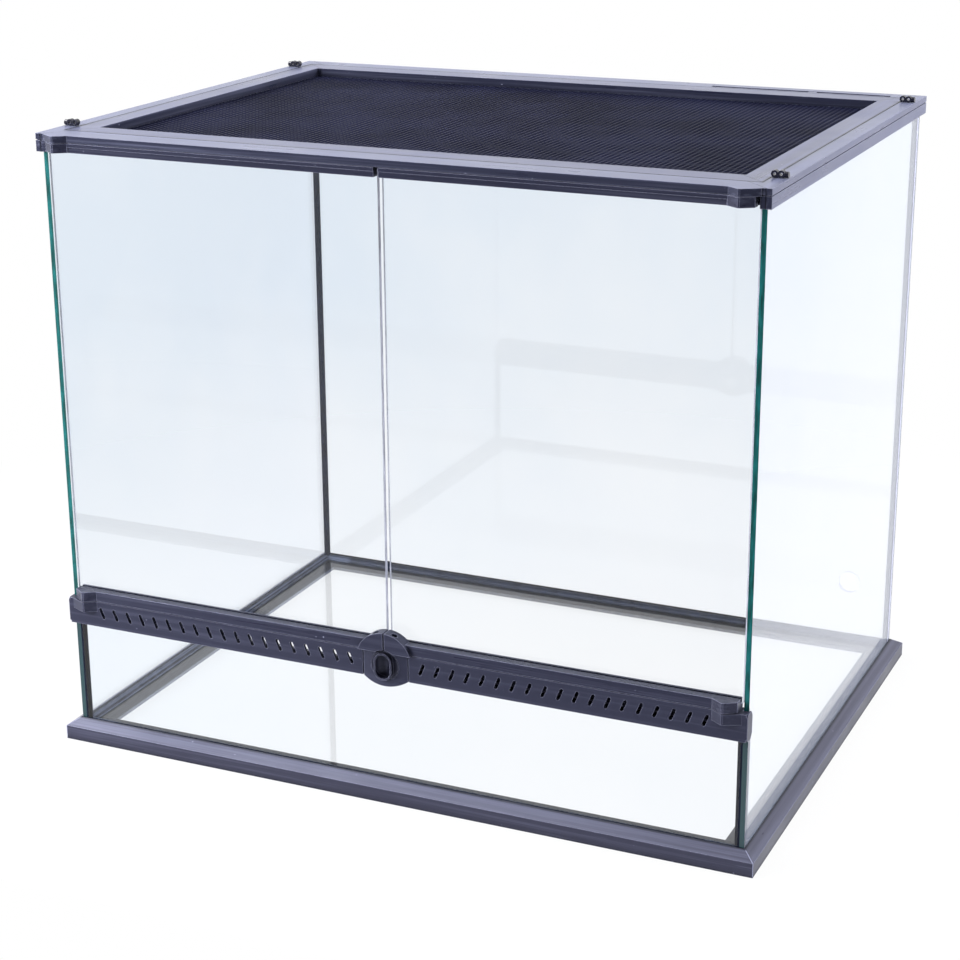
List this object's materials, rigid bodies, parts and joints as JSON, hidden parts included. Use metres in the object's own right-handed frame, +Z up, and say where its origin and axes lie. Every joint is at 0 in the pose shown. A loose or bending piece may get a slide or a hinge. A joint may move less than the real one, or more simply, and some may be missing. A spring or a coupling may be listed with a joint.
{
  "type": "reptile terrarium",
  "caption": "Front-opening glass reptile terrarium with two hinged doors, centre lock, front vent strip, lift-off screen lid and a cable inlet.",
  "frame": {"origin": "centre of the base frame's underside, on the surface the terrarium stands on", "axes": "+X to the right seen from the front, +Y to the back, +Z up; the doors face -Y"},
  "size_m": [0.615, 0.4675, 0.5275],
  "materials": {
    "clear_glass": "clear float glass with green edges",
    "frame_plastic": "moulded black plastic with a satin sheen",
    "door_plastic": "moulded black plastic",
    "clip_plastic": "glossy black plastic",
    "steel": "plain steel",
    "sealant": "black silicone",
    "screen_wire": "black coated metal screen with small staggered holes"
  },
  "bodies": {
    "tank": {"base_frame": "frame_plastic", "floor_glass": "clear_glass", "back_glass": "clear_glass", "left_side_glass": "clear_glass", "right_side_glass": "clear_glass", "lower_front_glass": "clear_glass", "floor_sealant": "sealant", "corner_sealant": "sealant", "top_frame": "frame_plastic", "left_vent_strip": "frame_plastic", "right_vent_strip": "frame_plastic", "lock_housing": "door_plastic"},
    "left_door": {"left_door_glass": "clear_glass", "left_door_top_rail": "door_plastic", "left_door_bottom_rail": "door_plastic", "left_door_ear": "door_plastic", "left_door_pins": "steel"},
    "right_door": {"right_door_glass": "clear_glass", "right_door_top_rail": "door_plastic", "right_door_bottom_rail": "door_plastic", "right_door_ear": "door_plastic", "right_door_pins": "steel"},
    "lock_knob": {"lock_knob": "door_plastic", "lock_cam": "steel", "lock_washer": "steel", "lock_screw": "steel"},
    "lid": {"lid_frame": "frame_plastic", "lid_screen": "screen_wire", "screen_retainer": "frame_plastic"},
    "cable_slide": {"cable_slide": "frame_plastic"},
    "front_left_clip": {"front_left_clip": "clip_plastic", "front_left_clip_pin": "steel"},
    "front_right_clip": {"front_right_clip": "clip_plastic", "front_right_clip_pin": "steel"},
    "rear_left_clip": {"rear_left_clip": "clip_plastic", "rear_left_clip_pin": "steel"},
    "rear_right_clip": {"rear_right_clip": "clip_plastic", "rear_right_clip_pin": "steel"}
  },
  "joints": [
    {"name": "left_door_hinge", "type": "hinge", "parent": "tank", "child": "left_door", "pos_m": [-0.28, -0.2305, 0.32], "axis": [0, 0, -1], "range_deg": [0, 110]},
    {"name": "right_door_hinge", "type": "hinge", "parent": "tank", "child": "right_door", "pos_m": [0.28, -0.2305, 0.32], "axis": [0, 0, 1], "range_deg": [0, 110]},
    {"name": "lock_turn", "type": "hinge", "parent": "tank", "child": "lock_knob", "pos_m": [0, -0.227, 0.1202], "axis": [0, -1, 0], "range_deg": [0, 90]},
    {"name": "lid_lift", "type": "slide", "parent": "tank", "child": "lid", "axis": [0, 0, 1], "range_m": [0, 0.08]},
    {"name": "cable_slide_travel", "type": "slide", "parent": "tank", "child": "cable_slide", "axis": [1, 0, 0], "range_m": [-0.056, 0.034]},
    {"name": "front_left_clip_turn", "type": "hinge", "parent": "tank", "child": "front_left_clip", "pos_m": [-0.2904, -0.185, 0.522], "axis": [0, 0, 1], "range_deg": [0, 180]},
    {"name": "front_right_clip_turn", "type": "hinge", "parent": "tank", "child": "front_right_clip", "pos_m": [0.2904, -0.185, 0.522], "axis": [0, 0, 1], "range_deg": [0, 180]},
    {"name": "rear_left_clip_turn", "type": "hinge", "parent": "tank", "child": "rear_left_clip", "pos_m": [-0.2904, 0.185, 0.522], "axis": [0, 0, 1], "range_deg": [0, 180]},
    {"name": "rear_right_clip_turn", "type": "hinge", "parent": "tank", "child": "rear_right_clip", "pos_m": [0.2904, 0.185, 0.522], "axis": [0, 0, 1], "range_deg": [0, 180]}
  ]
}
